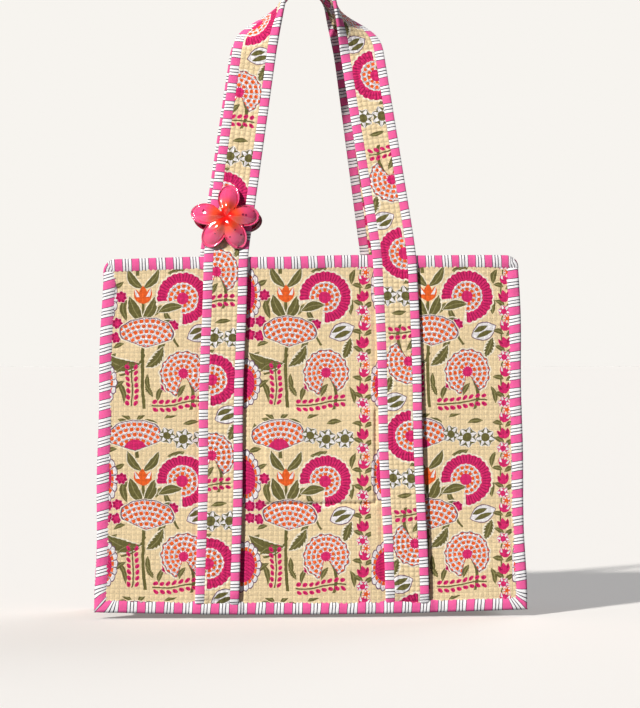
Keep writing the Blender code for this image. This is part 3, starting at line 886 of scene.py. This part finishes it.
def strap_frames(side):
    """Frames along a whole strap: up the left leg, round the loop and down the right leg."""
    outer_y = STRAP_Y[side]
    tilt = handle_tilt(side)
    flip = np.array((1.0, -side, 1.0))
    loop = [(part * flip @ tilt)[6:-6] for part in loop_frames()]
    loop[0] = loop[0] - side * STRAP_THICKNESS / 2 * tilt[1] + np.array((PIVOT_X, outer_y, HEIGHT))
    legs = []
    for hand, rim_x, base_x in LEGS:
        z = np.arange(0.0105, HEIGHT - 0.004, 0.0013)
        body = soften(base_x + (rim_x - base_x) * z / HEIGHT, outer_y - side * STRAP_THICKNESS / 2, z)
        body[:, 1] -= side * 0.0030 * smooth((0.021 - z) / 0.010)
        body[:, 0] += 0.0010 * np.sin(z * 23.0 + hand) * np.sin(z * 8.0)
        legs.append([body, np.broadcast_to(hand * X_AXIS, body.shape),
                     np.broadcast_to(side * Y_AXIS, body.shape)])
    left, right = legs
    return [relax(np.concatenate((low, free, high[::-1]))) for low, free, high in zip(left, loop, right)]


def relax(points, passes=7):
    """Smooths a run of points, keeping its ends."""
    for _ in range(passes):
        points = points.copy()
        points[1:-1] = 0.25 * points[:-2] + 0.5 * points[1:-1] + 0.25 * points[2:]
    return points


def strap(side, name, print_shift):
    """A quilted band between two striped tapes, from base to base, that bends at the rim."""
    middle, across, facing = strap_frames(side)
    across, facing = unit(across), unit(facing)
    count = len(middle)
    inner = STRAP_WIDTH / 2 - TAPE_WIDTH + 0.0012
    places = np.linspace(-inner, inner, 21)
    half = STRAP_THICKNESS / 2 - 0.0007 + puffs(count, len(places)) * 0.75
    centre = middle[:, None] + across[:, None] * places[:, None]
    out = facing[:, None] * half[..., None]
    uv = joined(print_shift[0] - places, run_length(middle)[:, None] + print_shift[1])
    band = shell(f"{name}_strap_band", centre + out, centre - out, uv, print_cotton, side > 0)
    pieces = [("band", band, "print_cotton")]
    for label, sign in (("inner", -1.0), ("outer", 1.0)):
        puff = unevenness(count, 9, 0.09)
        section_across, section_out = tape_section(TAPE_WIDTH, STRAP_THICKNESS + 0.0003, 20, 0.0003)
        path = middle + across * sign * (STRAP_WIDTH - TAPE_WIDTH) / 2
        tape = sweep(f"{name}_strap_{label}_tape", path[::2], across[::2], facing[::2],
                     (section_across * sign, section_out), stripe_cotton, puff[::2], shift=0.007 * sign)
        pieces.append((f"{label}_binding", tape, "stripe_cotton"))
    for part, obj, slot_name in pieces:
        nodes = [f"{name}_{hand}_leg_{part}" for hand in ("left", "right")] + [f"{name}_handle_{part}"]
        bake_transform(obj)
        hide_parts(*nodes)


# ---------------- pocket

def pocket():
    low, high = POCKET_LOW, POCKET_HIGH
    z, x = grid(np.linspace(low[2], high[2] + 0.002, 61), np.linspace(low[0], high[0], 61))
    share = (x - low[0]) / (high[0] - low[0])
    up = (z - low[2]) / (high[2] - low[2])
    swell = np.sin(share * math.pi) ** 0.4 * smooth(up * 5.0)
    near_y = low[1] + 0.0010 + (high[1] - low[1] - 0.003) * swell * (0.45 + 0.55 * up)
    near_y = near_y + 0.0005 * np.sin(x * 90.0 + z * 40.0)
    inner, outer = soften(x, near_y + 0.0012, z), soften(x, near_y, z)
    piece = shell("inner_pocket_cloth", inner, outer, joined(x, z), lining_cotton, True, step=2)
    finish_piece(piece, "lining_cotton", "bag", "inner_pocket")
    middle = soften(x[-1], near_y[-1] + 0.0006, z[-1] + 0.0015)
    section = tape_section(0.008, 0.003, 16)
    tape = sweep("inner_pocket_tape", middle, Z_AXIS, Y_AXIS, section, stripe_cotton)
    finish_piece(tape, "stripe_cotton", "bag", "inner_pocket_binding")


# ---------------- clip

CLIP_HEIGHT = 0.0415
CLIP_SHIFT = -0.0065
CLIP_AXES = np.array((
    (math.cos(LEG_SLOPE), 0.0, -math.sin(LEG_SLOPE)), Y_AXIS,
    (math.sin(LEG_SLOPE), 0.0, math.cos(LEG_SLOPE)))) @ handle_tilt(-1)
CLIP_PLACE = np.array((PIVOT_X, STRAP_Y[-1], HEIGHT)) + np.array((
    LEFT_RIM_X - PIVOT_X + CLIP_HEIGHT * math.tan(LEG_SLOPE) + CLIP_SHIFT,
    STRAP_THICKNESS / 2, CLIP_HEIGHT)) @ handle_tilt(-1)
PETALS = np.radians((88.0, 13.0, -52.0, -117.0, 178.0))
PETAL_CENTRE = 0.0215
PETAL_HALF_LENGTH = 0.0155
PETAL_HALF_WIDTH = 0.0116
PETAL_WALL = 0.0017
FLOWER_CORE = 0.0078
CUP_DEPTH = 0.0130
THROAT_DEPTH = 0.0034
JAW_GAP = 0.0028
HINGE_X = -0.0225
PIN_RADIUS = 0.0012
PIN_HALF_LENGTH = 0.0066
LUG_RADIUS = 0.0026
LUG_WIDTH = 0.0018
COIL_RADIUS = 0.0022
COIL_TURNS = 4.5
BACK_SHIFT = (0.0035, -0.0030)


def clip_mesh(name, points, faces, uv, material, smooth_shading=True):
    """A closed mesh from points in the clip's own frame, with its faces turned outwards."""
    obj = make_mesh(name, points @ CLIP_AXES + CLIP_PLACE, faces, uv, material, smooth_shading)
    fix_normals(obj)
    return obj


def fix_normals(obj):
    """Turns all of a closed mesh's faces outwards."""
    work = bmesh.new()
    work.from_mesh(obj.data)
    bmesh.ops.recalc_face_normals(work, faces=work.faces)
    work.to_mesh(obj.data)
    work.free()


def petal_reach(angle):
    """How far the flower's outline is from its middle: five ovals round a core."""
    reach = np.full_like(angle, FLOWER_CORE)
    for petal in PETALS:
        off = angle - petal
        a = (np.cos(off) / PETAL_HALF_LENGTH) ** 2 + (np.sin(off) / PETAL_HALF_WIDTH) ** 2
        b = -2.0 * np.cos(off) * PETAL_CENTRE / PETAL_HALF_LENGTH ** 2
        c = (PETAL_CENTRE / PETAL_HALF_LENGTH) ** 2 - 1.0
        inside = b * b - 4.0 * a * c
        far = (-b + np.sqrt(np.maximum(inside, 0.0))) / (2.0 * a)
        reach = np.where((inside > 0.0) & (np.cos(off) > 0.0), np.maximum(reach, far), reach)
    return reach


def flower(name, side, shift, material, body, node):
    """Five cupped petals round a sunken throat, with a raised rim along each edge."""
    around, rings = 360, 44
    angle = np.linspace(0.0, 2.0 * math.pi, around, endpoint=False)
    reach = petal_reach(angle)
    for _ in range(2):
        reach = (np.roll(reach, 1) + 2.0 * reach + np.roll(reach, -1)) / 4.0
    offsets = np.abs((angle - PETALS[:, None] + math.pi) % (2 * math.pi) - math.pi)
    valley = smooth(offsets.min(axis=0) / math.radians(33.0))
    part = np.linspace(0.0, 1.0, rings + 1)[1:, None]
    radius, edge = part * reach, (1.0 - part) * reach
    share = radius / (PETAL_CENTRE + PETAL_HALF_LENGTH)
    height = CUP_DEPTH * (1.0 - share ** 2.6) - THROAT_DEPTH * np.exp(-(radius / 0.0075) ** 2)
    height = height - 0.0034 * valley * smooth(radius / 0.018) * (1.0 - share ** 4)
    rim = 0.0012 * np.exp(-((edge - 0.0010) / 0.0007) ** 2)
    rim = rim - 0.0011 * np.exp(-((edge - 0.0034) / 0.0017) ** 2)
    height = height + rim * smooth((radius - 0.007) / 0.006) - 0.0012 * smooth(1.0 - edge / 0.0006)
    inner = np.maximum(height - PETAL_WALL, 0.0)
    height = np.maximum(height, inner + 0.0004)
    tip_height = CUP_DEPTH - 0.0036

    def layer(depth, shrink):
        r = radius - shrink * part
        x, z = r * np.cos(angle), r * np.sin(angle)
        return joined(shift[0] + x, side * (JAW_GAP + depth), shift[1] + z).reshape(-1, 3)

    tips = joined(shift[0], side * (JAW_GAP + tip_height - np.array((0.0, PETAL_WALL))), shift[1])
    points = np.concatenate((layer(height, 0.0), layer(inner, 0.0008), tips))
    index = np.arange(rings * around).reshape(rings, around)
    back_index = index + index.size
    faces = []
    for front, tip, turned in ((index, 2 * index.size, 1), (back_index, 2 * index.size + 1, -1)):
        after = np.roll(front, -1, axis=1)
        faces += joined(front[:-1], front[1:], after[1:], after[:-1]).reshape(-1, 4)[:, ::turned].tolist()
        faces += joined(tip, front[0], after[0])[:, ::turned].tolist()
    outer_edge, inner_edge = index[-1], back_index[-1]
    faces += joined(outer_edge, inner_edge, np.roll(inner_edge, -1), np.roll(outer_edge, -1)).tolist()
    if side > 0:
        faces = [face[::-1] for face in faces]
    obj = clip_mesh(name, points, faces, points[:, [0, 2]] - shift, material)
    return finish_piece(obj, "clip_plastic", body, node)


def clip_tube(name, path, radius, node, around=16):
    """A round steel rod or wire along points in the clip's own frame."""
    along = unit(np.gradient(path, axis=0))
    across = unit(np.cross(along, Y_AXIS * 0.9 + X_AXIS * 0.1))
    facing = unit(np.cross(along, across))
    turn = np.linspace(0.0, 2.0 * math.pi, around, endpoint=False)
    section = (np.cos(turn) * radius, np.sin(turn) * radius)
    path = path @ CLIP_AXES + CLIP_PLACE
    obj = sweep(name, path, across @ CLIP_AXES, facing @ CLIP_AXES, section, spring_steel)
    fix_normals(obj)
    return finish_piece(obj, "clip_metal", "front_handle", node)


def clip_lug(name, side, start, material, body):
    """A hinge ear: rounded round the pin and running into the flower's back."""
    turns = np.linspace(0.0, math.pi, 13)
    reach = JAW_GAP + 0.0050
    outline = [(LUG_RADIUS * math.cos(a), -side * LUG_RADIUS * math.sin(a)) for a in turns]
    outline += [(-LUG_RADIUS, side * reach), (LUG_RADIUS, side * reach)]
    levels = (start, start + math.copysign(LUG_WIDTH, start))
    points = np.array([(HINGE_X + x, y, level) for level in levels for x, y in outline])
    count = len(outline)
    faces = [list(range(count)), list(range(count, 2 * count))]
    faces += [[i, (i + 1) % count, count + (i + 1) % count, count + i] for i in range(count)]
    obj = clip_mesh(name, points, faces, points[:, [0, 2]], material, smooth_shading=False)
    return finish_piece(obj, "clip_plastic", body)


def clip():
    flower("clip_front_petals", -1, (0.0, 0.0), clip_bright, "clip_jaw", "clip_front_flower")
    # The back flower is in the darkened copy of the plastic, painted shade
    flower("clip_back_petals", 1, BACK_SHIFT, clip_shaded_copy, "front_handle", "clip_back_flower")
    for label, sign in (("upper", 1.0), ("lower", -1.0)):
        clip_lug(f"clip_front_{label}_lug", -1, sign * 0.0042, clip_bright, "clip_jaw")
        clip_lug(f"clip_back_{label}_lug", 1, sign * 0.0021, clip_shaded_copy, "front_handle")
    pin = joined(HINGE_X, 0.0, np.linspace(-PIN_HALF_LENGTH, PIN_HALF_LENGTH, 9))
    clip_tube("clip_steel_pin", pin, PIN_RADIUS, "clip_hinge_pin")
    turns = np.linspace(0.0, 2.0 * math.pi * COIL_TURNS, 160)
    coil = joined(HINGE_X + COIL_RADIUS * np.cos(turns), COIL_RADIUS * np.sin(turns),
                  np.linspace(-0.0014, 0.0014, len(turns)))
    clip_tube("clip_steel_coil", coil, 0.0003, "clip_spring", around=8)


# ---------------- studio

BACKGROUND = (247, 244, 239)
FLOOR = (220, 217, 213)
FLOOR_GLOW = 0.192
STAGE_REACH = 60.0
SKY = (0.86, 0.90, 1.0, 1.0)
SKY_STRENGTH = 0.17
SUNS = (
    ("key", (-1.0, -1.0, 0.80), 4.6, 4.0, (1.0, 0.975, 0.94)),
    ("fill", (0.7, 1.0, 0.9), 1.0, 40.0, (0.95, 0.97, 1.0)),
)
CAMERA_TURN = math.radians(-4.5)
CAMERA_DISTANCE = 3.0
CAMERA_AIM = np.array((0.0085, FRONT_Y, 0.278))


def emission_material(name, colour):
    material = bpy.data.materials.new(name)
    material.use_nodes = True
    tree = material.node_tree
    tree.nodes.clear()
    glow = fill(tree.nodes.new("ShaderNodeEmission"), {"Color": linear(colour)})
    fill(tree.nodes.new("ShaderNodeOutputMaterial"), {"Surface": glow.outputs[0]})
    return material


def plane(name, corners, material):
    mesh = bpy.data.meshes.new(name)
    mesh.from_pydata(corners, [], [(0, 1, 2, 3)])
    mesh.materials.append(material)
    obj = bpy.data.objects.new(name, mesh)
    bpy.context.collection.objects.link(obj)
    obj.visible_diffuse = False
    return obj


def studio():
    floor_paint = Paint("pale_floor", FLOOR, roughness=1.0, specular=0.0)
    fill(floor_paint.shader, {"Emission Color": linear(BACKGROUND), "Emission Strength": FLOOR_GLOW})
    far = STAGE_REACH
    floor_z = float(cad_low[2]) - 0.0034
    ring = ((-far, -far), (far, -far), (far, far), (-far, far))
    plane("floor", [(x, y, floor_z) for x, y in ring], floor_paint.done())
    wall = plane("backdrop", [(x, far, z) for x, z in ring], emission_material("pale_backdrop", BACKGROUND))
    wall.visible_shadow = False
    wall.visible_glossy = False

    world = bpy.data.worlds.new("studio_sky")
    bpy.context.scene.world = world
    world.use_nodes = True
    fill(world.node_tree.nodes["Background"], {"Color": SKY, "Strength": SKY_STRENGTH})

    for name, direction, energy, spread, tint in SUNS:
        sun = bpy.data.lights.new(name, "SUN")
        sun.energy = energy
        sun.angle = math.radians(spread)
        sun.color = tint
        lamp = bpy.data.objects.new(name, sun)
        bpy.context.collection.objects.link(lamp)
        lamp.rotation_euler = Vector(direction).to_track_quat("Z", "Y").to_euler()

    camera = bpy.data.cameras.new("camera")
    camera.lens = 143.0
    camera.sensor_fit = "VERTICAL"
    camera.sensor_height = 36.0
    view = bpy.data.objects.new("camera", camera)
    bpy.context.collection.objects.link(view)
    back = np.array((math.sin(CAMERA_TURN), -math.cos(CAMERA_TURN), 0.0))
    view.location = CAMERA_AIM + back * CAMERA_DISTANCE
    view.rotation_euler = (math.pi / 2, 0.0, CAMERA_TURN)
    bpy.context.scene.camera = view
    bpy.context.scene.view_settings.view_transform = "Standard"


panel("front_panel", -1, print_shift=(0.076, -0.222))
panel("back_panel", 1, print_shift=(0.02, -0.15))
side_gusset("gusset_left", -1)
side_gusset("gusset_right", 1)
base_gusset()
seam_bindings(-1, "front")
seam_bindings(1, "back")
rim_bindings()
strap(-1, "front", print_shift=(0.101, 0.0705))
strap(1, "back", print_shift=(0.010, 0.090))
pocket()
clip()
studio()
